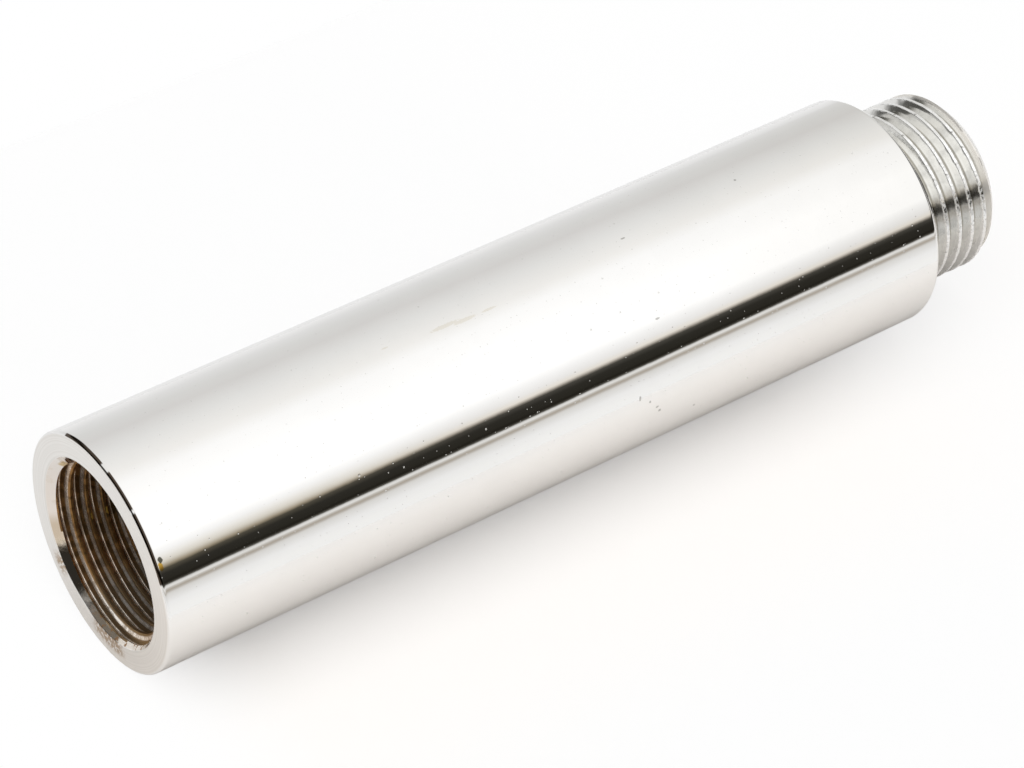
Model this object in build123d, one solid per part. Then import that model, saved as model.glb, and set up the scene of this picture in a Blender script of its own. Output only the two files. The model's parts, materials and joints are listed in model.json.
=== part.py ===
# Male to female pipe extension with half-inch parallel threads, turned from one brass bar.
# It stands on its female end: the origin is the centre of that end's face, and +Z runs to the male end.
# All sizes are in millimetres, and the threads are left plain at the sizes that their crests keep.
from build123d import *
from math import radians, tan
import os

# Plain round body
BODY_DIAMETER = 26.6
BODY_LENGTH = 100.0
FEMALE_EDGE_ROUND = 0.4
SHOULDER_EDGE_ROUND = 0.4

# Male end: a spigot as wide as the thread's crests, with a run-out groove against the shoulder
MALE_THREAD_DIAMETER = 20.8
MALE_END_LENGTH = 11.5
MALE_END_CHAMFER = 1.3
GROOVE_DEPTH = 1.25
GROOVE_FLOOR_WIDTH = 1.0

# The groove undercuts the shoulder, so a gasket that clears the crests lies on a flat seat
SEAT_CLEARANCE = 0.3
SHOULDER_UNDERCUT = 0.25

# Female end: a socket as wide as the thread's crests, countersunk at the mouth, with a drill-point floor
FEMALE_THREAD_DIAMETER = 18.7
SOCKET_DEPTH = 16.0
COUNTERSINK = 1.25
DRILL_POINT_ANGLE = 118.0

# Waterway through the whole fitting
BORE_DIAMETER = 15.5
BORE_EXIT_CHAMFER = 0.5


def outside_profile():
    """Points up the outside of the half section, from the female face to the male end's face."""
    body_radius = BODY_DIAMETER / 2
    crest_radius = MALE_THREAD_DIAMETER / 2
    groove_radius = crest_radius - GROOVE_DEPTH
    groove_top = BODY_LENGTH + GROOVE_FLOOR_WIDTH
    end = BODY_LENGTH + MALE_END_LENGTH
    return [
        (body_radius, 0),
        (body_radius, BODY_LENGTH),
        (crest_radius + SEAT_CLEARANCE, BODY_LENGTH),
        (groove_radius, BODY_LENGTH - SHOULDER_UNDERCUT),
        (groove_radius, groove_top),
        (crest_radius, groove_top + GROOVE_DEPTH),
        (crest_radius, end - MALE_END_CHAMFER),
        (crest_radius - MALE_END_CHAMFER, end),
    ]


def inside_profile():
    """Points down the inside of the half section, from the male end's face to the female face."""
    bore_radius = BORE_DIAMETER / 2
    socket_radius = FEMALE_THREAD_DIAMETER / 2
    drill_point_height = (socket_radius - bore_radius) / tan(radians(DRILL_POINT_ANGLE / 2))
    end = BODY_LENGTH + MALE_END_LENGTH
    return [
        (bore_radius + BORE_EXIT_CHAMFER, end),
        (bore_radius, end - BORE_EXIT_CHAMFER),
        (bore_radius, SOCKET_DEPTH + drill_point_height),
        (socket_radius, SOCKET_DEPTH),
        (socket_radius, COUNTERSINK),
        (socket_radius + COUNTERSINK, 0),
    ]


def turned_fitting():
    """The half section turned about the bore's axis, with both outer edges of the body rounded."""
    outline = Polyline(*outside_profile(), *inside_profile(), close=True)
    half_section = Plane.XZ * make_face(outline)
    fitting = revolve(half_section, Axis.Z)
    outer_edges = fitting.edges().filter_by(GeomType.CIRCLE).group_by(SortBy.RADIUS)[-1].sort_by(Axis.Z)
    fitting = fillet(outer_edges.first, FEMALE_EDGE_ROUND)
    outer_edges = fitting.edges().filter_by(GeomType.CIRCLE).group_by(SortBy.RADIUS)[-1].sort_by(Axis.Z)
    return fillet(outer_edges.last, SHOULDER_EDGE_ROUND)


os.makedirs("parts", exist_ok=True)
export_step(turned_fitting(), "parts/pipe_extension.step")
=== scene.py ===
"""A chrome-plated pipe extension with cut threads, lying in soft light as in the photograph."""
import json
from math import cos, pi, radians, sin, tan

import bmesh
import bpy
import numpy as np
from mathutils import Matrix, Vector


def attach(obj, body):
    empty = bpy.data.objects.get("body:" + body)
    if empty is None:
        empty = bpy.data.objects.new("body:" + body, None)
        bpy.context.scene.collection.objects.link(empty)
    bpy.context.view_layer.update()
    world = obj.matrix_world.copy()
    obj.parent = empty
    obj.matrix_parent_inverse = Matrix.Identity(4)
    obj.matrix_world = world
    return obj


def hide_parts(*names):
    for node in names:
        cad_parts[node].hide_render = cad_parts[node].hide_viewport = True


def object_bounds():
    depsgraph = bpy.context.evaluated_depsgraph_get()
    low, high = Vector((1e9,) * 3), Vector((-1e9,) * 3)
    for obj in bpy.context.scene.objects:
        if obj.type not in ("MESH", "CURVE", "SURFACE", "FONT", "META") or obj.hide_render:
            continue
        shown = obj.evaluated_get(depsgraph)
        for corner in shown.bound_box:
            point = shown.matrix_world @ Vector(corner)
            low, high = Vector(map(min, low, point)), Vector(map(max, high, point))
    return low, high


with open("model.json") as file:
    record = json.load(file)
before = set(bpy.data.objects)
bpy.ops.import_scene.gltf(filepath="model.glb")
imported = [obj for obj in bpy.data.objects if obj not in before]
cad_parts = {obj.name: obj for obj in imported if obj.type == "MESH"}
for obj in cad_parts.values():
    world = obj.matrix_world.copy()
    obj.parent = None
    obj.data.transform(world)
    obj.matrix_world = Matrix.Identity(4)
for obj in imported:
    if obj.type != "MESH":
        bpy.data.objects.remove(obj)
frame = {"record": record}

MM = 0.001
cad_low, cad_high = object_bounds()
mounts = {mount["name"]: mount for mount in frame["record"]["mounts"]}

# Sizes that the frame gives
BODY_RADIUS = min(-cad_low.x, -cad_low.y, cad_high.x, cad_high.y)
OVERALL_LENGTH = cad_high.z
SHOULDER_HEIGHT = mounts["male_shoulder"]["pos_m"][2]
MALE_CREST_RADIUS = mounts["male_thread"]["dims"]["r_mm"] * MM
FEMALE_CREST_RADIUS = mounts["female_thread"]["dims"]["r_mm"] * MM

# Body
FACE_EDGE_ROUND = 0.4 * MM
SHOULDER_EDGE_ROUND = 0.4 * MM

# Socket with its countersunk mouth and drill-point floor, and the bore
COUNTERSINK = 1.25 * MM
MOUTH_RADIUS = FEMALE_CREST_RADIUS + COUNTERSINK
MOUTH_EDGE_BREAK = 0.07 * MM
SOCKET_DEPTH = 16.0 * MM
SOCKET_FLOOR_TOP = 16.96 * MM
BORE_RADIUS = 7.75 * MM
BORE_EXIT_CHAMFER = 0.5 * MM

# Male end with its run-out groove, which undercuts the shoulder
END_CHAMFER = 1.3 * MM
SEAT_CLEARANCE = 0.3 * MM
SHOULDER_UNDERCUT = 0.25 * MM
GROOVE_DEPTH = 1.25 * MM
GROOVE_FLOOR_WIDTH = 1.0 * MM
GROOVE_RADIUS = MALE_CREST_RADIUS - GROOVE_DEPTH
GROOVE_TOP = SHOULDER_HEIGHT + GROOVE_FLOOR_WIDTH

# Half-inch parallel pipe thread: 55 degree form with round roots, and crests that are cut flat
PITCH = 1.814 * MM
FLANK_ANGLE = radians(27.5)
THREAD_DEPTH = 0.6403 * PITCH
ROOT_ROUND = 0.1373 * PITCH
CREST_CUT = PITCH / (12 * tan(FLANK_ANGLE))
NOMINAL_RADIUS = 10.4775 * MM
MALE_CREST_WEAR = NOMINAL_RADIUS - MALE_CREST_RADIUS
FEMALE_CREST_WEAR = FEMALE_CREST_RADIUS - (NOMINAL_RADIUS - THREAD_DEPTH)
CREST_EDGE = 0.03 * MM

# Heights of the socket's thread: a crest's middle at +X, the end of its zone, and where the tap ran out
FEMALE_CREST_PHASE = -0.31 * PITCH
FEMALE_THREAD_END = 14.75 * MM
FEMALE_FADE_START = 12.3 * MM
FEMALE_FADE_END = 14.4 * MM

# Dents along the crests: how deep, how random, and how far down the thread's depth they reach
NICK_DEPTH = 0.05 * MM
NICK_SEED = 5
NICK_SMOOTHING = 0.4
NICK_LEVEL = 0.45
NICK_RANGE = 0.5
NICK_REACH = 0.25

# Mesh rows and columns
COLUMNS = 192
ANGLES = np.arange(COLUMNS) * 2 * pi / COLUMNS
ROUND_STEPS = 6
BODY_ROWS = 41
BORE_ROWS = 12
CREST_STEPS = np.array([0, 0.55, 0.82, 0.94, 1.04, 1.16, 1.35])
FLANK_STEPS = 4
ROOT_STEPS = 4

# Mesh rows over the mouth's broken edge: out from the mouth's radius, and up from the face
MOUTH_EDGE_ROWS = [
    (-MOUTH_EDGE_BREAK, MOUTH_EDGE_BREAK), (-0.02 * MM, 0.02 * MM), (0.03 * MM, 0.003 * MM), (0.1 * MM, 0),
]

# Narrow strips beside the rounded edges, which keep the shading of the flats and the body even
FLAT_STRIP = 0.1 * MM
BODY_STRIP = 0.15 * MM

# Mesh limits
SLIVER = 0.03 * MM
MERGE_DISTANCE = 0.001 * MM
CONE_TOLERANCE = 0.005 * MM
SHARP_ANGLE = radians(32)

# Finishes of the zones, in the order of the mesh's materials
BRIGHT, THREAD, SOCKET, CONE = range(4)

# The fitting lies on its side: up and front are the table's directions, and +Z runs along it
UP = Vector((1, -1, 0)).normalized()
FRONT = Vector((1, 1, 0)).normalized()
ALONG = Vector((0, 0, 1))


def on_table(along, front, up):
    """A point given in millimetres along the fitting, towards the front and up from its axis."""
    return (along * ALONG + front * FRONT + up * UP) * MM


# Turned and threaded mesh

def thread_drop(offset, wear):
    """How deep the thread lies below its worn crests, at an axial offset from a crest's middle."""
    from_crest = np.abs((offset / PITCH + 0.5) % 1 - 0.5) * PITCH
    from_root = PITCH / 2 - from_crest
    flank = from_crest / tan(FLANK_ANGLE) - CREST_CUT
    root = THREAD_DEPTH - ROOT_ROUND + np.sqrt(np.maximum(ROOT_ROUND ** 2 - from_root ** 2, 0))
    drop = np.where(from_root < ROOT_ROUND * cos(FLANK_ANGLE), root, flank) - wear
    return (drop + np.sqrt(drop ** 2 + CREST_EDGE ** 2)) / 2


def pitch_steps(wear):
    """Axial offsets of the mesh rows within one pitch, denser at the crest's edges and round the root."""
    flat = (CREST_CUT + wear) * tan(FLANK_ANGLE)
    root_start = PITCH / 2 - ROOT_ROUND * cos(FLANK_ANGLE)
    crest = flat * CREST_STEPS
    flank = np.linspace(crest[-1], root_start, FLANK_STEPS)[1:]
    root = np.linspace(root_start, PITCH / 2, ROOT_STEPS)[1:]
    half = np.concatenate([crest, flank, root])
    return np.concatenate([half, PITCH - half[-2:0:-1]])


def crest_nicks(turns):
    """Depths of small dents along a crest that runs through this many turns, one row for each turn."""
    random = np.random.default_rng(NICK_SEED)
    rough = random.random(turns * COLUMNS)
    rough = (1 - NICK_SMOOTHING) * rough + NICK_SMOOTHING * np.roll(rough, 1)
    share = np.clip((rough - NICK_LEVEL) / NICK_RANGE, 0, 1)
    return NICK_DEPTH * share.reshape(turns, COLUMNS)


def thread_rows(low, high, phase, wear, radius_at):
    """Rows that climb with the thread between two heights; each row is an array of radius and height."""
    steps = pitch_steps(wear)
    first = np.floor((low - phase) / PITCH) - 1
    last = np.ceil((high - phase) / PITCH) + 1
    starts = phase + np.arange(first, last + 1) * PITCH
    level = (starts[:, None] + steps).ravel()
    height = level[:, None] + PITCH * ANGLES / (2 * pi)
    height = np.where(height < low + SLIVER, low, height)
    height = np.where(height > high - SLIVER, high, height)
    offset = height - PITCH * ANGLES / (2 * pi) - phase
    on_crest = np.clip(1 - thread_drop(offset, wear) / (NICK_REACH * THREAD_DEPTH), 0, 1)
    inside = (height > low) & (height < high)
    dents = np.repeat(crest_nicks(len(starts)), len(steps), axis=0) * on_crest * inside
    return np.stack([radius_at(height, offset, dents), height], axis=2), len(steps)


def plain_rows(points):
    """Rows of a turned surface, with the same radius and height all round."""
    return np.repeat(np.array(points)[:, None, :], COLUMNS, axis=1), 0


def male_radius(height, offset, dents):
    """The male end's outside: the thread, cut back by the run-out groove and the end chamfer."""
    groove = GROOVE_RADIUS + np.maximum(height - GROOVE_TOP, 0)
    chamfer = MALE_CREST_RADIUS - END_CHAMFER + OVERALL_LENGTH - height
    thread = MALE_CREST_RADIUS - thread_drop(offset, MALE_CREST_WEAR) - dents
    return np.minimum(thread, np.minimum(groove, chamfer))


def female_radius(height, offset, dents):
    """The socket's inside: the thread, opened by the countersink and fading out where the tap stopped."""
    fade = np.clip((FEMALE_FADE_END - height) / (FEMALE_FADE_END - FEMALE_FADE_START), 0, 1)
    thread = FEMALE_CREST_RADIUS + (thread_drop(offset, FEMALE_CREST_WEAR) + dents) * fade
    return np.maximum(thread, MOUTH_RADIUS - height)


def edge_round(radius, height, size, from_angle):
    """Points of a quarter round with its centre at this radius and height."""
    angles = from_angle + np.linspace(0, pi / 2, ROUND_STEPS + 1)
    return [(radius + size * cos(a), height + size * sin(a)) for a in angles]


def outside_points():
    """The turned outside, from the mouth's edge over the face and the body to the shoulder's seat."""
    face_edge = BODY_RADIUS - FACE_EDGE_ROUND
    shoulder_edge = BODY_RADIUS - SHOULDER_EDGE_ROUND
    body_top = SHOULDER_HEIGHT - SHOULDER_EDGE_ROUND
    body_heights = np.linspace(FACE_EDGE_ROUND + BODY_STRIP, body_top - BODY_STRIP, BODY_ROWS)
    return [
        *[(MOUTH_RADIUS + out, up) for out, up in MOUTH_EDGE_ROWS],
        (face_edge - FLAT_STRIP, 0),
        *edge_round(face_edge, FACE_EDGE_ROUND, FACE_EDGE_ROUND, -pi / 2),
        *[(BODY_RADIUS, height) for height in body_heights],
        *edge_round(shoulder_edge, body_top, SHOULDER_EDGE_ROUND, 0),
        (shoulder_edge - FLAT_STRIP, SHOULDER_HEIGHT),
        (MALE_CREST_RADIUS + SEAT_CLEARANCE, SHOULDER_HEIGHT),
    ]


def groove_points():
    """The undercut of the shoulder and the floor of the run-out groove."""
    return [
        (MALE_CREST_RADIUS + SEAT_CLEARANCE, SHOULDER_HEIGHT),
        (GROOVE_RADIUS, SHOULDER_HEIGHT - SHOULDER_UNDERCUT),
        (GROOVE_RADIUS, GROOVE_TOP),
    ]


def end_face_points():
    """The flat ring of the male end's face."""
    return [
        (MALE_CREST_RADIUS - END_CHAMFER, OVERALL_LENGTH),
        (BORE_RADIUS + BORE_EXIT_CHAMFER, OVERALL_LENGTH),
    ]


def bore_points():
    """The bore, from its chamfered exit in the male end to the plain wall at the socket's bottom."""
    heights = np.linspace(OVERALL_LENGTH - BORE_EXIT_CHAMFER, SOCKET_FLOOR_TOP, BORE_ROWS)
    return [
        (BORE_RADIUS + BORE_EXIT_CHAMFER, OVERALL_LENGTH),
        *[(BORE_RADIUS, height) for height in heights],
        (FEMALE_CREST_RADIUS, SOCKET_DEPTH),
        (FEMALE_CREST_RADIUS, FEMALE_THREAD_END),
    ]


def add_rows(bm, rows, climb, finish):
    """Adds one zone of rows to the mesh. A zone that climbs joins each row's end to a later row's start."""
    count = len(rows)
    points = []
    for row in rows:
        points.append([bm.verts.new((r * cos(a), r * sin(a), h)) for (r, h), a in zip(row, ANGLES)])
    for i in range(count - 1):
        for j in range(COLUMNS - 1):
            quad = (points[i][j], points[i][j + 1], points[i + 1][j + 1], points[i + 1][j])
            bm.faces.new(quad).material_index = finish
        start = min(i + climb, count - 1)
        start_above = min(i + 1 + climb, count - 1)
        if start != start_above:
            quad = (points[i][-1], points[start][0], points[start_above][0], points[i + 1][-1])
            bm.faces.new(quad).material_index = finish


def on_countersink(point):
    """True for a point on the cone that opens the mouth."""
    return abs(point.xy.length + point.z - MOUTH_RADIUS) < CONE_TOLERANCE


def build_fitting(finishes):
    """The whole fitting as one closed mesh, with a finish for each turned or threaded zone."""
    bm = bmesh.new()
    male = thread_rows(GROOVE_TOP, OVERALL_LENGTH, SHOULDER_HEIGHT, MALE_CREST_WEAR, male_radius)
    female = thread_rows(
        MOUTH_EDGE_BREAK, FEMALE_THREAD_END, FEMALE_CREST_PHASE, FEMALE_CREST_WEAR, female_radius)
    zones = [
        (plain_rows(outside_points()), BRIGHT),
        (plain_rows(groove_points()), THREAD),
        (male, THREAD),
        (plain_rows(end_face_points()), THREAD),
        (plain_rows(bore_points()), SOCKET),
        (female, SOCKET),
    ]
    for (rows, climb), finish in zones:
        add_rows(bm, rows, climb, finish)
    bmesh.ops.remove_doubles(bm, verts=bm.verts, dist=MERGE_DISTANCE)
    bmesh.ops.dissolve_degenerate(bm, edges=bm.edges, dist=MERGE_DISTANCE / 2)
    bmesh.ops.recalc_face_normals(bm, faces=bm.faces)
    for face in bm.faces:
        if face.material_index == SOCKET and all(on_countersink(vert.co) for vert in face.verts):
            face.material_index = CONE
    mesh = bpy.data.meshes.new("fitting")
    bm.to_mesh(mesh)
    bm.free()
    for material in finishes:
        mesh.materials.append(material)
    mesh.shade_smooth()
    mesh.set_sharp_from_angle(angle=SHARP_ANGLE)
    piece = bpy.data.objects.new("fitting", mesh)
    bpy.context.collection.objects.link(piece)
    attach(piece, "root")
    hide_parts("pipe_extension")


# Shader nodes

def add_node(tree, kind, inputs=None, **settings):
    """Adds a node to a shader tree; each input is a plain value or another node's output."""
    node = tree.nodes.new("ShaderNode" + kind)
    for name, value in settings.items():
        setattr(node, name, value)
    for socket, value in (inputs or {}).items():
        if isinstance(value, bpy.types.NodeSocket):
            tree.links.new(value, node.inputs[socket])
        else:
            node.inputs[socket].default_value = value
    return node


def calculate(tree, operation, *values):
    """The result of a math node."""
    return add_node(tree, "Math", dict(enumerate(values)), operation=operation).outputs["Value"]


def both(tree, first, second):
    """The product of two masks or values."""
    return calculate(tree, "MULTIPLY", first, second)


def raised(tree, base, mask, amount):
    """A base value plus an amount where the mask says."""
    return calculate(tree, "MULTIPLY_ADD", mask, amount, base)


def share_along(tree, vector, axis):
    """How far a vector reaches along an axis."""
    return add_node(tree, "VectorMath", {0: vector, 1: axis}, operation="DOT_PRODUCT").outputs["Value"]


def ease(tree, value, start, end):
    """Rises smoothly from 0 at one value to 1 at the other."""
    inputs = {"Value": value, "From Min": start, "From Max": end}
    return add_node(tree, "MapRange", inputs, interpolation_type="SMOOTHSTEP").outputs["Result"]


def between(tree, value, low, high, soft):
    """A mask that is full between two values and fades outside them."""
    return both(tree, ease(tree, value, low - soft, low), ease(tree, value, high + soft, high))


def blend(tree, mask, first, second, how="MIX"):
    """The second colour laid over the first where the mask says."""
    inputs = {0: mask, 6: first, 7: second}
    return add_node(tree, "Mix", inputs, data_type="RGBA", blend_type=how).outputs[2]


def mix_shaders(tree, share, first, second):
    """The second shader laid over the first by a share."""
    return add_node(tree, "MixShader", {0: share, 1: first, 2: second}).outputs["Shader"]


# Shared node groups; lengths on the unrolled surface are in millimetres

SMALLEST_PIT = 0.3
PATCH_SOFTNESS = 0.06
PATCH_DETAIL = 4.0
PATCH_ROUGHNESS = 0.6
MARK_NOISE_SCALE = 5.0
MARK_NOISE_DETAIL = 2.0
MARK_RAGGEDNESS = 0.9
MARK_FADE = (1.55, 1.2)


def new_group(name, inputs, outputs):
    """An empty node group with named sockets, with what goes in and what comes out."""
    group = bpy.data.node_groups.new(name, "ShaderNodeTree")
    for label, kind in inputs.items():
        group.interface.new_socket(label, in_out="INPUT", socket_type="NodeSocket" + kind)
    for label, kind in outputs.items():
        group.interface.new_socket(label, in_out="OUTPUT", socket_type="NodeSocket" + kind)
    given = group.nodes.new("NodeGroupInput").outputs
    result = group.nodes.new("NodeGroupOutput").inputs
    return group, given, result


def unrolled_group():
    """Where a point lies on the fitting: how far round it, along it and out from its axis."""
    outputs = {"Unrolled": "Vector", "Around": "Float", "Along": "Float", "Radius": "Float"}
    group, given, result = new_group("unrolled", {"Position": "Vector"}, outputs)
    front, up, along = [share_along(group, given["Position"], axis / MM) for axis in (FRONT, UP, ALONG)]
    angle = calculate(group, "ARCTAN2", up, front)
    around = both(group, angle, BODY_RADIUS / MM)
    across = add_node(group, "CombineXYZ", {"X": front, "Y": up}).outputs["Vector"]
    radius = add_node(group, "VectorMath", {0: across}, operation="LENGTH").outputs["Value"]
    unrolled = add_node(group, "CombineXYZ", {"X": around, "Y": along, "Z": radius}).outputs["Vector"]
    group.links.new(unrolled, result["Unrolled"])
    group.links.new(around, result["Around"])
    group.links.new(along, result["Along"])
    group.links.new(radius, result["Radius"])
    return group


def pits_group():
    """Small round pits scattered over a surface; size and share are parts of one."""
    inputs = {"Unrolled": "Vector", "Spacing": "Float", "Size": "Float", "Share": "Float"}
    group, given, result = new_group("pits", inputs, {"Mask": "Float"})
    scale = calculate(group, "DIVIDE", 1, given["Spacing"])
    cell_inputs = {"Vector": given["Unrolled"], "Scale": scale}
    cells = add_node(group, "TexVoronoi", cell_inputs, voronoi_dimensions="2D")
    lot = add_node(group, "SeparateColor", {"Color": cells.outputs["Color"]})
    chosen = calculate(group, "LESS_THAN", lot.outputs["Red"], given["Share"])
    reach = both(group, given["Size"], calculate(group, "ADD", lot.outputs["Green"], SMALLEST_PIT))
    near = ease(group, cells.outputs["Distance"], reach, 0.0)
    group.links.new(both(group, chosen, near), result["Mask"])
    return group


def patches_group():
    """Uneven patches such as tarnish; share is how much they cover."""
    inputs = {"Unrolled": "Vector", "Spacing": "Float", "Share": "Float"}
    group, given, result = new_group("patches", inputs, {"Mask": "Float", "Height": "Float"})
    scale = calculate(group, "DIVIDE", 1, given["Spacing"])
    cloud_inputs = {
        "Vector": given["Unrolled"], "Scale": scale, "Detail": PATCH_DETAIL, "Roughness": PATCH_ROUGHNESS}
    cloud = add_node(group, "TexNoise", cloud_inputs).outputs["Fac"]
    level_inputs = {"Value": given["Share"], "To Min": 0.75, "To Max": 0.25}
    level = add_node(group, "MapRange", level_inputs).outputs["Result"]
    low = calculate(group, "SUBTRACT", level, PATCH_SOFTNESS)
    high = calculate(group, "ADD", level, PATCH_SOFTNESS)
    group.links.new(ease(group, cloud, low, high), result["Mask"])
    group.links.new(cloud, result["Height"])
    return group


def mark_group():
    """One mark with ragged edges, at a place on the unrolled surface."""
    inputs = {"Unrolled": "Vector", "Centre": "Vector", "Half Size": "Vector"}
    group, given, result = new_group("mark", inputs, {"Mask": "Float"})
    away = add_node(group, "VectorMath", {0: given["Unrolled"], 1: given["Centre"]}, operation="SUBTRACT")
    scaled_inputs = {0: away.outputs["Vector"], 1: given["Half Size"]}
    scaled = add_node(group, "VectorMath", scaled_inputs, operation="DIVIDE")
    reach = add_node(group, "VectorMath", {0: scaled.outputs["Vector"]}, operation="LENGTH").outputs["Value"]
    noise_inputs = {"Vector": given["Unrolled"], "Scale": MARK_NOISE_SCALE, "Detail": MARK_NOISE_DETAIL}
    ragged = add_node(group, "TexNoise", noise_inputs).outputs["Fac"]
    uneven = raised(group, reach, ragged, MARK_RAGGEDNESS)
    group.links.new(ease(group, uneven, *MARK_FADE), result["Mask"])
    return group


# Finishes; places on them are millimetres round from the front, along from the face or out from the axis

def empty_material(name):
    """A material with no nodes yet, and its node tree."""
    material = bpy.data.materials.new(name)
    material.use_nodes = True
    material.node_tree.nodes.clear()
    return material, material.node_tree


def new_finish(name, groups):
    """A material with its output, a metal shader and the surface's unrolled place."""
    material, tree = empty_material(name)
    metal = add_node(tree, "BsdfPrincipled", {"Metallic": 1.0})
    add_node(tree, "OutputMaterial", {"Surface": metal.outputs["BSDF"]})
    position = add_node(tree, "TexCoord").outputs["Object"]
    place = add_node(tree, "Group", {"Position": position}, node_tree=groups["unrolled"]).outputs
    return material, tree, metal, place


def use_group(tree, group, place, **inputs):
    """The outputs of a group on the unrolled surface, with its inputs by name."""
    sockets = {name.replace("_", " "): value for name, value in inputs.items()}
    return add_node(tree, "Group", {"Unrolled": place["Unrolled"], **sockets}, node_tree=group).outputs


def one_mark(tree, groups, place, degrees, along, half_round, half_along):
    """The mask of one mark, placed by its degrees up from the front and its distance along."""
    centre = (radians(degrees) * BODY_RADIUS / MM, along, 0)
    half_size = (half_round, half_along, 0)
    return use_group(tree, groups["mark"], place, Centre=centre, Half_Size=half_size)["Mask"]


def set_bump(tree, metal, layers):
    """Stacks bumps, each a height and its full depth in metres, on the shader's normal."""
    normal = None
    for height, depth in layers:
        inputs = {"Height": height, "Distance": depth, "Strength": 1.0}
        if normal is not None:
            inputs["Normal"] = normal
        normal = add_node(tree, "Bump", inputs).outputs["Normal"]
    tree.links.new(normal, metal.inputs["Normal"])


def set_surface(tree, metal, colour, roughness):
    """Gives the shader its colour and roughness."""
    tree.links.new(colour, metal.inputs["Base Color"])
    tree.links.new(roughness, metal.inputs["Roughness"])


# Bright chrome of the body, its edges and the female face
CHROME = (0.865, 0.858, 0.845, 1)
HAZY_CHROME = (0.855, 0.848, 0.835, 1)
FINE_PIT = (0.78, 0.775, 0.76, 1)
FACE_TINT = (0.98, 0.96, 0.935, 1)
TURNING_TINT = (0.93, 0.925, 0.915, 1)
FACE_STAIN = (0.40, 0.29, 0.19, 1)
RIM_DARK_REFLECTION = (0.08, 0.06, 0.045, 1)
BRASS = (0.80, 0.54, 0.12, 1)
DARK_SPOT = (0.12, 0.12, 0.10, 1)
BROWN_STAIN = (0.79, 0.765, 0.71, 1)
GREY_SPOT = (0.50, 0.49, 0.47, 1)
CHROME_ROUGHNESS = 0.025
HAZE_ROUGHNESS = 0.015
PIT_ROUGHNESS = 0.5
MARK_ROUGHNESS = 0.05
RIPPLE_DEPTH = 0.01 * MM
PIT_DEPTH = 0.006 * MM

# The face and the rim's round by their distance along, the turning rings, and how far out stains reach
FACE_FADE = (0.06, 0.02)
RIM_EDGE = (0.07, 0.36, 0.03)
TURNING_SCALE = 4.0
TURNING_FADE = (0.4, 0.65)
STAIN_FADE = (12.5, 11.6)

# Speckled stains on the face, and dark brown lines on the rim's round that paint its dark reflection wider:
# start and end round from the front
FACE_STAINS = [(-32.6, -32.2), (-22.5, -18.0)]
FACE_STAIN_SOFT = 2
RIM_REFLECTION_LINES = [(5.0, 12.4), (13.1, 17.5), (19.0, 25.8)]
RIM_LINE_SOFT = 0.3

# Marks on the body: degrees up from the front, distance along, half sizes round and along, colour
BODY_MARKS = [
    (29.0, 0.66, 0.50, 0.26, BRASS), (31.6, 0.80, 0.33, 0.26, DARK_SPOT),
    (75.2, 40.2, 0.26, 1.9, BROWN_STAIN), (74.0, 42.5, 0.24, 1.5, BROWN_STAIN),
    (74.0, 45.6, 0.16, 1.0, BROWN_STAIN), (77.2, 33.1, 0.10, 0.45, BROWN_STAIN),
    (85.1, 80.1, 0.16, 0.16, GREY_SPOT), (80.0, 64.0, 0.12, 0.3, GREY_SPOT),
    (5.0, 58.3, 0.36, 0.15, GREY_SPOT), (0.6, 59.6, 0.18, 0.16, GREY_SPOT),
    (-4.5, 60.6, 0.15, 0.22, GREY_SPOT), (-7.5, 61.0, 0.20, 0.20, GREY_SPOT),
    (-16.0, 66.0, 0.14, 0.16, GREY_SPOT), (38.0, 62.5, 0.13, 0.30, GREY_SPOT),
]


def bright_chrome(groups):
    """Polished chrome with a faint ripple, fine pits, the marks that the photograph shows, and painted dark
    reflection lines on the rim's round.
    """
    material, tree, metal, place = new_finish("bright_chrome", groups)
    fine = use_group(tree, groups["pits"], place, Spacing=0.8, Size=0.11, Share=0.2)["Mask"]
    coarse = use_group(tree, groups["pits"], place, Spacing=5.0, Size=0.036, Share=0.4)["Mask"]
    pits = calculate(tree, "MAXIMUM", fine, coarse)
    polish = use_group(tree, groups["patches"], place, Spacing=9.0, Share=0.5)
    colour = blend(tree, polish["Mask"], CHROME, HAZY_CHROME)
    colour = blend(tree, pits, colour, FINE_PIT)
    roughness = raised(tree, CHROME_ROUGHNESS, polish["Mask"], HAZE_ROUGHNESS)
    roughness = raised(tree, roughness, pits, PIT_ROUGHNESS)
    for *spot, tint in BODY_MARKS:
        mark = one_mark(tree, groups, place, *spot)
        colour = blend(tree, mark, colour, tint)
        roughness = raised(tree, roughness, mark, MARK_ROUGHNESS)
    on_face = ease(tree, place["Along"], *FACE_FADE)
    colour = blend(tree, on_face, colour, FACE_TINT, how="MULTIPLY")
    turning_inputs = {"W": place["Radius"], "Scale": TURNING_SCALE}
    turning = add_node(tree, "TexNoise", turning_inputs, noise_dimensions="1D").outputs["Fac"]
    rings = both(tree, ease(tree, turning, *TURNING_FADE), on_face)
    colour = blend(tree, rings, colour, TURNING_TINT, how="MULTIPLY")
    blots = use_group(tree, groups["patches"], place, Spacing=0.45, Share=0.58)["Mask"]
    blots = both(tree, blots, ease(tree, place["Radius"], *STAIN_FADE))
    blots = both(tree, blots, on_face)
    for start, end in FACE_STAINS:
        stain = both(tree, blots, between(tree, place["Around"], start, end, FACE_STAIN_SOFT))
        colour = blend(tree, stain, colour, FACE_STAIN)
    # Painted reflection: dark lines over the rim's round widen the dark reflection line there, with gaps.
    on_edge = between(tree, place["Along"], *RIM_EDGE)
    for start, end in RIM_REFLECTION_LINES:
        line = both(tree, on_edge, between(tree, place["Around"], start, end, RIM_LINE_SOFT))
        colour = blend(tree, line, colour, RIM_DARK_REFLECTION)
    set_surface(tree, metal, colour, roughness)
    raised_pits = calculate(tree, "SUBTRACT", 1, pits)
    set_bump(tree, metal, [(polish["Height"], RIPPLE_DEPTH), (raised_pits, PIT_DEPTH)])
    return material
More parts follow.
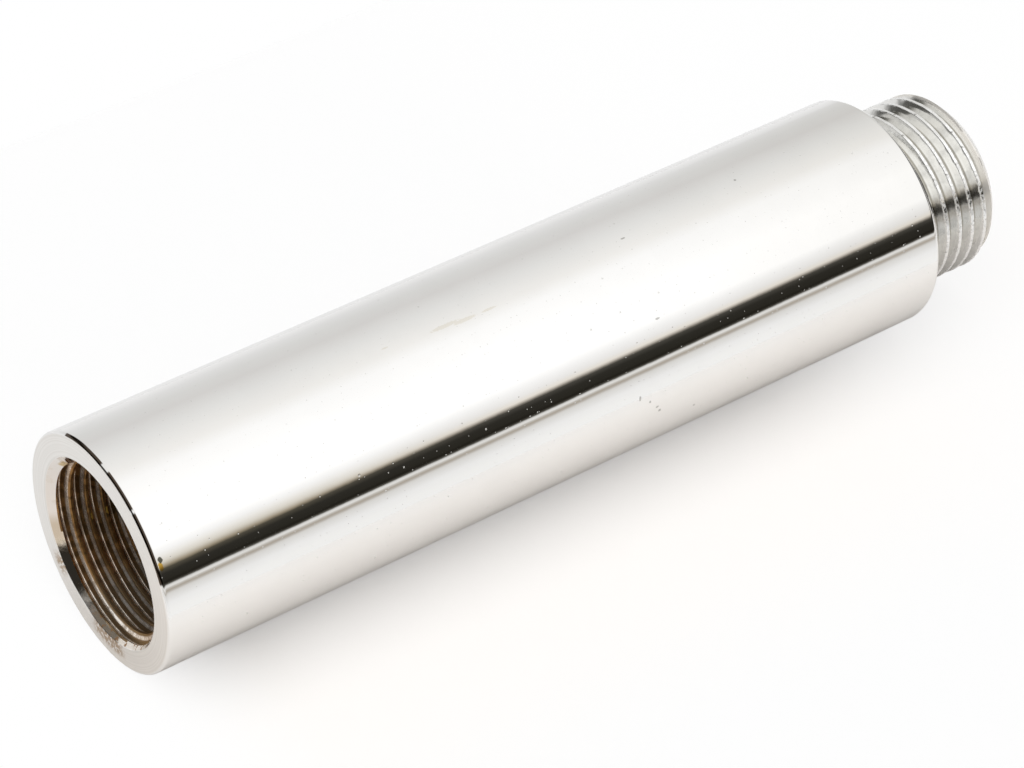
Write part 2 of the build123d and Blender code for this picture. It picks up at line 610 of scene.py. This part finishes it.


# Thread chrome of the male end: painted light on its upper side and painted shade on its lower side, painted
# shade in the roots, and zones by radius, round and along
SHADED_LOWER_FLANK = (0.745, 0.74, 0.72, 1)
LIT_UPPER_FLANK = (0.87, 0.865, 0.84, 1)
SHADED_LOWER_CREST = (0.82, 0.82, 0.81, 1)
LIT_UPPER_CREST = (0.96, 0.96, 0.95, 1)
STREAK_TINT = (0.90, 0.90, 0.90, 1)
ROOT_SHADE = (0.55, 0.53, 0.48, 1)
NICK_GREY = (0.40, 0.39, 0.37, 1)
WORN_PLATE = (0.80, 0.77, 0.72, 1)
LIT_SIDE_FADE = (4, 9)
CREST_FADE = (10.24, 10.37)
ROOT_SHADE_FADE = (9.52, 9.38)
WORN_END_FADE = (110.05, 110.3)
THREAD_ROUGHNESS = 0.13
SCUFF_ROUGHNESS = 0.35
WORN_METALLIC_LOSS = -0.6
STREAK_DEPTH = 0.012 * MM


def thread_chrome(groups):
    """Duller chrome in the thread, with painted shade in the roots and on the flanks, brighter crests that
    are nicked and scuffed, a painted lit upper side and shaded lower side, and a worn end.
    """
    material, tree, metal, place = new_finish("thread_chrome", groups)
    crest = ease(tree, place["Radius"], *CREST_FADE)
    streaks = use_group(tree, groups["patches"], place, Spacing=2.5, Share=0.4)
    scuffs = use_group(tree, groups["patches"], place, Spacing=0.5, Share=0.45)["Mask"]
    nicks = use_group(tree, groups["pits"], place, Spacing=0.9, Size=0.3, Share=0.35)["Mask"]
    # Painted light: the upper side is lighter and the lower side darker, as the light falls on the thread.
    lit_side = ease(tree, place["Around"], *LIT_SIDE_FADE)
    colour = blend(tree, lit_side, SHADED_LOWER_FLANK, LIT_UPPER_FLANK)
    colour = blend(tree, streaks["Mask"], colour, STREAK_TINT, how="MULTIPLY")
    # Painted shade: the roots are darkened as the shade in the grooves.
    root = ease(tree, place["Radius"], *ROOT_SHADE_FADE)
    colour = blend(tree, root, colour, ROOT_SHADE, how="MULTIPLY")
    # The crests' brighter tones over the darker flanks paint the grooves' shade; the crests' nicks and scuffs
    # are real wear.
    colour = blend(tree, crest, colour, blend(tree, lit_side, SHADED_LOWER_CREST, LIT_UPPER_CREST))
    colour = blend(tree, both(tree, crest, nicks), colour, NICK_GREY)
    roughness = raised(tree, THREAD_ROUGHNESS, both(tree, crest, scuffs), SCUFF_ROUGHNESS)
    worn_end = ease(tree, place["Along"], *WORN_END_FADE)
    colour = blend(tree, worn_end, colour, WORN_PLATE)
    tree.links.new(raised(tree, 1, worn_end, WORN_METALLIC_LOSS), metal.inputs["Metallic"])
    set_surface(tree, metal, colour, roughness)
    set_bump(tree, metal, [(streaks["Height"], STREAK_DEPTH)])
    return material


# Brown plate of the socket and the bore
SOCKET_BROWN = (0.35, 0.19, 0.07, 1)
SOCKET_TARNISH = (0.19, 0.105, 0.04, 1)
SOCKET_LOW_BROWN = (0.26, 0.18, 0.10, 1)
SOCKET_SHEEN = (0.75, 0.50, 0.30, 1)
# Painted highlights: bright lines along the socket thread, and whiter painted glints on its lower side
HIGHLIGHT_COLOUR = (0.96, 0.85, 0.73, 1)
LOW_GLINT_COLOUR = (1.0, 0.95, 0.88, 1)
SOCKET_LOW_SIDE = (-25, -5, 6)
SOCKET_METALLIC = 0.75
SOCKET_ROUGHNESS = 0.32
LINE_ROUGHNESS = -0.2
TARNISH_DEPTH = 0.015 * MM

# Painted highlights in the socket's thread: share of the pitch from the crest, and half width in pitches
ROOT_HIGHLIGHT = (0.5, 0.11)
FLANK_HIGHLIGHT = (0.79, 0.075)
LINE_CORE = 0.3
LINE_TARNISH = -0.5
LINE_FADE = (14.4, 5.0)

# The socket's thread where it passes the front, an eighth of a turn from +X, in pitches after a crest
FIRST_TURN = -FEMALE_CREST_PHASE / PITCH - 1 / 8

# Brass flecks in the socket: degrees up from the front, distance along, half sizes round and along
BRASS_FLECKS = [(-160.0, 4.4, 0.7, 0.35), (-159.5, 6.15, 0.7, 0.35)]


def thread_highlight(tree, place, share, half_width):
    """A thin line that follows the socket's thread, at a share of the pitch from the crest, for a painted
    highlight.
    """
    turn_per_mm = MM / (2 * pi * BODY_RADIUS)
    turns = raised(tree, FIRST_TURN - share, place["Around"], turn_per_mm)
    pitches = raised(tree, turns, place["Along"], MM / PITCH)
    away = calculate(tree, "PINGPONG", pitches, 0.5)
    return ease(tree, away, half_width, LINE_CORE * half_width)


def socket_plate(groups):
    """Dull brown bronze in the socket's thread, with painted highlight lines along roots and flanks, whiter
    painted glints on the lower side, and brass flecks.
    """
    material, tree, metal, place = new_finish("socket_plate", groups)
    metal.inputs["Metallic"].default_value = SOCKET_METALLIC
    metal.inputs["Specular Tint"].default_value = SOCKET_SHEEN
    root_highlight = thread_highlight(tree, place, *ROOT_HIGHLIGHT)
    flank_highlight = thread_highlight(tree, place, *FLANK_HIGHLIGHT)
    tarnish = use_group(tree, groups["patches"], place, Spacing=1.5, Share=0.5)
    # The painted highlights dim under tarnish and fade deeper in the socket.
    shine = raised(tree, 1, tarnish["Mask"], LINE_TARNISH)
    shine = both(tree, shine, ease(tree, place["Along"], *LINE_FADE))
    lines = both(tree, calculate(tree, "MAXIMUM", root_highlight, flank_highlight), shine)
    low_side = between(tree, place["Around"], *SOCKET_LOW_SIDE)
    colour = blend(tree, tarnish["Mask"], SOCKET_BROWN, SOCKET_TARNISH)
    colour = blend(tree, low_side, colour, SOCKET_LOW_BROWN)
    # Painted glints: the highlight lines turn whiter on the lower side.
    line_colour = blend(tree, low_side, HIGHLIGHT_COLOUR, LOW_GLINT_COLOUR)
    colour = blend(tree, lines, colour, line_colour)
    for spot in BRASS_FLECKS:
        colour = blend(tree, one_mark(tree, groups, place, *spot), colour, BRASS)
    roughness = raised(tree, SOCKET_ROUGHNESS, lines, LINE_ROUGHNESS)
    set_surface(tree, metal, colour, roughness)
    set_bump(tree, metal, [(tarnish["Height"], TARNISH_DEPTH)])
    return material


# Stained plate of the mouth's cone; each part has a start and an end round from the front, and its softness
CREAM = (0.83, 0.78, 0.73, 1)
STAINED_CREAM = (0.74, 0.66, 0.57, 1)
SIDE_BROWN = (0.62, 0.53, 0.42, 1)
GOLD = (0.55, 0.40, 0.18, 1)
DULL_BROWN = (0.28, 0.24, 0.19, 1)
DULL_CREAM = (0.82, 0.76, 0.68, 1)
SPECK_BROWN = (0.30, 0.17, 0.08, 1)
DULL_PART = (-24, -5, 2)
PALE_PART = (-17.5, -5, 1.5)
BROWN_PART = (-37.5, -35.5, 2.5)
GOLDEN_PART = (31.2, 32.8, 0.6)
GOLDEN_FADE = (10.2, 9.9)
DULL_METALLIC_LOSS = -0.65
CONE_ROUGHNESS = 0.05
STAIN_ROUGHNESS = 0.06
SPECK_DEPTH = 0.01 * MM


def countersink_plate(groups):
    """The mouth's cone: creamy plate that turns brown, and is dull and speckled at the bottom."""
    material, tree, metal, place = new_finish("countersink_plate", groups)
    stains = use_group(tree, groups["patches"], place, Spacing=4.0, Share=0.35)
    specks = use_group(tree, groups["patches"], place, Spacing=0.7, Share=0.4)
    dull, pale, brown_side, golden_top = [
        between(tree, place["Around"], *part) for part in (DULL_PART, PALE_PART, BROWN_PART, GOLDEN_PART)]
    golden_top = both(tree, golden_top, ease(tree, place["Radius"], *GOLDEN_FADE))
    colour = blend(tree, stains["Mask"], CREAM, STAINED_CREAM)
    colour = blend(tree, brown_side, colour, SIDE_BROWN)
    colour = blend(tree, golden_top, colour, GOLD)
    dull_colour = blend(tree, pale, DULL_BROWN, DULL_CREAM)
    dull_colour = blend(tree, specks["Mask"], dull_colour, SPECK_BROWN)
    colour = blend(tree, dull, colour, dull_colour)
    tree.links.new(raised(tree, 1, dull, DULL_METALLIC_LOSS), metal.inputs["Metallic"])
    roughness = raised(tree, CONE_ROUGHNESS, stains["Mask"], STAIN_ROUGHNESS)
    set_surface(tree, metal, colour, roughness)
    set_bump(tree, metal, [(specks["Height"], SPECK_DEPTH)])
    return material


def build_finishes():
    """The four finishes of the fitting, in the order of its zones."""
    groups = {group.name: group for group in (unrolled_group(), pits_group(), patches_group(), mark_group())}
    return [bright_chrome(groups), thread_chrome(groups), socket_plate(groups), countersink_plate(groups)]


# Studio

SOFT_LIGHT = 0.46
WHITE = (1, 1, 1, 1)

# The lamp: its strength, how broad it is, how high it stands over the front, and its lean to the female end
LAMP_STRENGTH = 1.94
LAMP_SPREAD = radians(70)
LAMP_HEIGHT = radians(75)
LAMP_LEAN = 0.25

# The table in millimetres from the fitting's axis; the metal doesn't show it beyond the mirrored front
TABLE_ENDS = (-400, 500)
TABLE_BACK = -85
MIRRORED_FRONT = 33
TABLE_FRONT = 85

# Paper: plain, with a warm tint painted into the strip before the fitting where its shadow falls, and painted
# shade where the metal shows it from near by
PAPER_WHITE = (0.95, 0.95, 0.95, 1)
WARM_SHADOW_TINT = (0.985, 0.95, 0.915, 1)
WARM_SHADOW_STRIP = (8, 14, 34)
NEAR_SHADE = (0.895, 0.895, 0.895, 1)
NEAR_FADE = (28, 15)

# Share of white laid over the table's shadow: everywhere, and more beyond each end of the fitting
SHADOW_LIFT = 0.335
FEMALE_END_LIFT = 0.665
FEMALE_END_FADE = (14, -3)
MALE_END_LIFT = 0.5
MALE_END_FADE = (76, 112)

# The photograph's camera: lens and sensor in millimetres, its place and its look along, to the front and up
LENS = 126.87
SENSOR_WIDTH = 36
CAMERA_PLACE = (-125.526, 244.435, 240.085)
CAMERA_LOOK = (0.45686, -0.63183, -0.62615)
NEAREST_SEEN = 0.01
FARTHEST_SEEN = 20

# What the metal sees round the fitting's axis: degrees up from the front, colour.
# The body shows the right side in the photograph: a dark window with bright edges, and a ceiling.
RIGHT_SIDE = [
    (-180, (0.82, 0.82, 0.82)), (-172, (0.88, 0.88, 0.88)), (-160, (0.93, 0.93, 0.93)),
    (-40, (1.02, 1.02, 1.02)), (-30, (1.01, 1.01, 1.0)), (-22, (0.96, 0.96, 0.96)),
    (-13, (0.77, 0.76, 0.74)), (-11, (0.50, 0.46, 0.41)), (-9, (0.42, 0.37, 0.31)),
    (-7.6, (0.85, 0.84, 0.82)), (-5.8, (0.85, 0.84, 0.82)), (-4.2, (0.09, 0.085, 0.07)),
    (-2.6, (0.012, 0.010, 0.007)), (0, (0.025, 0.023, 0.018)), (6, (0.03, 0.028, 0.023)),
    (10.3, (0.075, 0.07, 0.06)), (12, (0.42, 0.38, 0.33)), (13.5, (0.88, 0.83, 0.75)),
    (18, (0.94, 0.93, 0.92)), (25, (1.06, 1.06, 1.06)), (31, (1.2, 1.2, 1.2)),
    (60, (1.22, 1.22, 1.22)), (92, (1.12, 1.12, 1.12)), (105, (1.0, 0.99, 0.97)),
    (129, (0.86, 0.86, 0.85)), (150, (0.74, 0.73, 0.72)), (165, (0.76, 0.76, 0.75)),
    (180, (0.82, 0.82, 0.82)),
]

# Near the female rim the window's upper edge is brown and softer
SOFT_BROWN = [
    (10, (0.09, 0.08, 0.06)), (12, (0.37, 0.31, 0.22)), (16, (0.76, 0.72, 0.64)), (21, (0.96, 0.94, 0.90)),
]
NEAR_RIM = sorted([stop for stop in RIGHT_SIDE if not 10 <= stop[0] < 25] + SOFT_BROWN)

# Seen from square on, a second dark window stands at the back
AROUND = [
    (-180, (0.82, 0.82, 0.82)), (-172, (0.88, 0.88, 0.88)), (-160, (0.93, 0.93, 0.93)),
    (-30, (1.0, 1.0, 0.99)), (-22, (0.95, 0.95, 0.95)), (-13, (0.77, 0.76, 0.74)),
    (-11, (0.50, 0.46, 0.41)), (-7.6, (0.85, 0.84, 0.82)), (-5.8, (0.85, 0.84, 0.82)),
    (-4.2, (0.09, 0.085, 0.07)), (0, (0.025, 0.023, 0.018)), (10, (0.075, 0.07, 0.06)),
    (13.5, (0.86, 0.82, 0.75)), (20, (0.92, 0.92, 0.91)), (60, (1.0, 1.0, 1.0)),
    (105, (0.95, 0.94, 0.92)), (129, (0.84, 0.84, 0.83)), (143, (0.70, 0.69, 0.68)),
    (150, (0.14, 0.135, 0.12)), (165, (0.05, 0.047, 0.04)), (168, (0.74, 0.73, 0.71)),
    (180, (0.82, 0.82, 0.82)),
]

# The thread's flanks and the mouth's cone face the left side: pale below, and dark above the table
LEFT_SIDE = [
    (-180, (0.09, 0.088, 0.082)), (-173, (0.8, 0.78, 0.75)), (-4, (0.85, 0.84, 0.82)),
    (-2, (0.03, 0.028, 0.024)), (130, (0.03, 0.028, 0.024)), (160, (0.09, 0.088, 0.082)),
    (180, (0.09, 0.088, 0.082)),
]

# The female face looks at the near end, and the male end's face at the far end
NEAR_END = [
    (-180, (0.95, 0.95, 0.95)), (-4, (0.9, 0.9, 0.88)), (-2, (0.03, 0.028, 0.024)),
    (95, (0.03, 0.028, 0.024)), (125, (0.9, 0.9, 0.88)), (180, (0.95, 0.95, 0.95)),
]
FAR_END = [
    (-180, (0.95, 0.95, 0.95)), (-22, (0.9, 0.9, 0.9)), (-6, (0.8, 0.79, 0.77)),
    (-3, (0.05, 0.047, 0.04)), (120, (0.07, 0.065, 0.06)), (160, (0.6, 0.6, 0.59)),
    (180, (0.95, 0.95, 0.95)),
]

# The parts of the studio laid over the right side, each with the direction's shares along the axis
# at which it starts and is full
OTHER_SIDES = [
    (NEAR_RIM, 0.46, 0.38), (AROUND, 0.32, 0.22), (LEFT_SIDE, -0.5, -0.62),
    (NEAR_END, -0.84, -0.92), (FAR_END, 0.75, 0.88),
]

# The ceiling grows warmer towards the male end: shares along the axis, and up from level
WARM_CEILING = (0.91, 0.905, 0.89, 1)
WARM_FADE = (0.48, 0.6)
CEILING_FADE = (-0.05, 0.05)


def colour_round(tree, turn, stops):
    """A colour ramp over the full turn, from pairs of degrees and colour."""
    node = add_node(tree, "ValToRGB", {"Fac": turn})
    ramp = node.color_ramp
    ramp.interpolation = "LINEAR"
    while len(ramp.elements) < len(stops):
        ramp.elements.new(0.5)
    for element, (degrees, colour) in zip(ramp.elements, stops):
        element.position = (degrees + 180) / 360
        element.color = (*colour, 1)
    return node.outputs["Color"]


def build_world():
    """White behind the object; what the metal sees is a bright ceiling, dark windows and a grey back wall."""
    world = bpy.data.worlds.new("studio")
    bpy.context.scene.world = world
    world.use_nodes = True
    tree = world.node_tree
    tree.nodes.clear()
    direction = add_node(tree, "TexCoord").outputs["Generated"]
    up, front, along = [share_along(tree, direction, axis) for axis in (UP, FRONT, ALONG)]
    angle = calculate(tree, "ARCTAN2", up, front)
    turn = raised(tree, 0.5, angle, 1 / (2 * pi))
    colour = colour_round(tree, turn, RIGHT_SIDE)
    warm = both(tree, ease(tree, along, *WARM_FADE), ease(tree, up, *CEILING_FADE))
    colour = blend(tree, warm, colour, WARM_CEILING, how="MULTIPLY")
    for stops, start, full in OTHER_SIDES:
        colour = blend(tree, ease(tree, along, start, full), colour, colour_round(tree, turn, stops))
    studio = add_node(tree, "Background", {"Color": colour}).outputs["Background"]
    soft = add_node(tree, "Background", {"Color": WHITE, "Strength": SOFT_LIGHT}).outputs["Background"]
    white = add_node(tree, "Background", {"Color": WHITE}).outputs["Background"]
    ray = add_node(tree, "LightPath").outputs
    lit = mix_shaders(tree, ray["Is Glossy Ray"], soft, studio)
    seen = mix_shaders(tree, ray["Is Camera Ray"], lit, white)
    add_node(tree, "OutputWorld", {"Surface": seen})


def paper_material():
    """White paper that shows only from its own side, with its shadow lifted for the camera."""
    material, tree = empty_material("white_paper")
    glow = add_node(tree, "Emission").outputs["Emission"]
    ray = add_node(tree, "LightPath").outputs
    position = add_node(tree, "TexCoord").outputs["Object"]
    along, front = [share_along(tree, position, axis / MM) for axis in (ALONG, FRONT)]
    # Painted shade colour: the paper is tinted warm where the fitting's shadow lies before it.
    white = blend(tree, between(tree, front, *WARM_SHADOW_STRIP), PAPER_WHITE, WARM_SHADOW_TINT)
    near = both(tree, ray["Is Glossy Ray"], ease(tree, front, *NEAR_FADE))
    white = blend(tree, near, white, NEAR_SHADE, how="MULTIPLY")
    paper = add_node(tree, "BsdfDiffuse", {"Color": white}).outputs["BSDF"]
    lift = raised(tree, SHADOW_LIFT, ease(tree, along, *FEMALE_END_FADE), FEMALE_END_LIFT)
    lift = raised(tree, lift, ease(tree, along, *MALE_END_FADE), MALE_END_LIFT)
    lifted = mix_shaders(tree, both(tree, ray["Is Camera Ray"], lift), paper, glow)
    clear = add_node(tree, "BsdfTransparent").outputs["BSDF"]
    underside = add_node(tree, "NewGeometry").outputs["Backfacing"]
    sheet = mix_shaders(tree, underside, lifted, clear)
    add_node(tree, "OutputMaterial", {"Surface": sheet})
    return material


def add_sheet(name, back, front, paper):
    """A sheet of the table under the fitting, between two distances towards the front."""
    start, end = TABLE_ENDS
    places = [(start, back), (start, front), (end, front), (end, back)]
    corners = [on_table(along, across, 0) - UP * BODY_RADIUS for along, across in places]
    mesh = bpy.data.meshes.new(name)
    mesh.from_pydata(corners, [], [(0, 1, 2, 3)])
    if mesh.polygons[0].normal.dot(UP) < 0:
        mesh.flip_normals()
    mesh.materials.append(paper)
    sheet = bpy.data.objects.new(name, mesh)
    bpy.context.collection.objects.link(sheet)
    return sheet


def build_table():
    """The table that the fitting lies on; the metal doesn't see the part near the camera."""
    paper = paper_material()
    add_sheet("table", TABLE_BACK, MIRRORED_FRONT, paper)
    near = add_sheet("table_front", MIRRORED_FRONT, TABLE_FRONT, paper)
    near.visible_glossy = False


def build_lamp():
    """One broad soft lamp overhead, which the metal doesn't show."""
    lamp = bpy.data.lights.new("overhead", "SUN")
    lamp.energy = LAMP_STRENGTH
    lamp.angle = LAMP_SPREAD
    sun = bpy.data.objects.new("overhead", lamp)
    bpy.context.collection.objects.link(sun)
    towards = (UP * sin(LAMP_HEIGHT) + FRONT * cos(LAMP_HEIGHT) - ALONG * LAMP_LEAN).normalized()
    sun.rotation_mode = "QUATERNION"
    sun.rotation_quaternion = (-towards).to_track_quat("-Z", "Y")
    sun.visible_glossy = False


def build_camera():
    """The photograph's view: from the front, above and the female end's side."""
    data = bpy.data.cameras.new("photo_view")
    data.lens = LENS
    data.sensor_width = SENSOR_WIDTH
    data.clip_start = NEAREST_SEEN
    data.clip_end = FARTHEST_SEEN
    camera = bpy.data.objects.new("photo_view", data)
    bpy.context.collection.objects.link(camera)
    look = on_table(*CAMERA_LOOK).normalized()
    right = look.cross(UP).normalized()
    above = right.cross(look)
    turn = Matrix((right, above, -look)).transposed()
    camera.matrix_world = Matrix.Translation(on_table(*CAMERA_PLACE)) @ turn.to_4x4()
    bpy.context.scene.camera = camera


bpy.context.scene.view_settings.view_transform = "Standard"
build_fitting(build_finishes())
build_world()
build_table()
build_lamp()
build_camera()
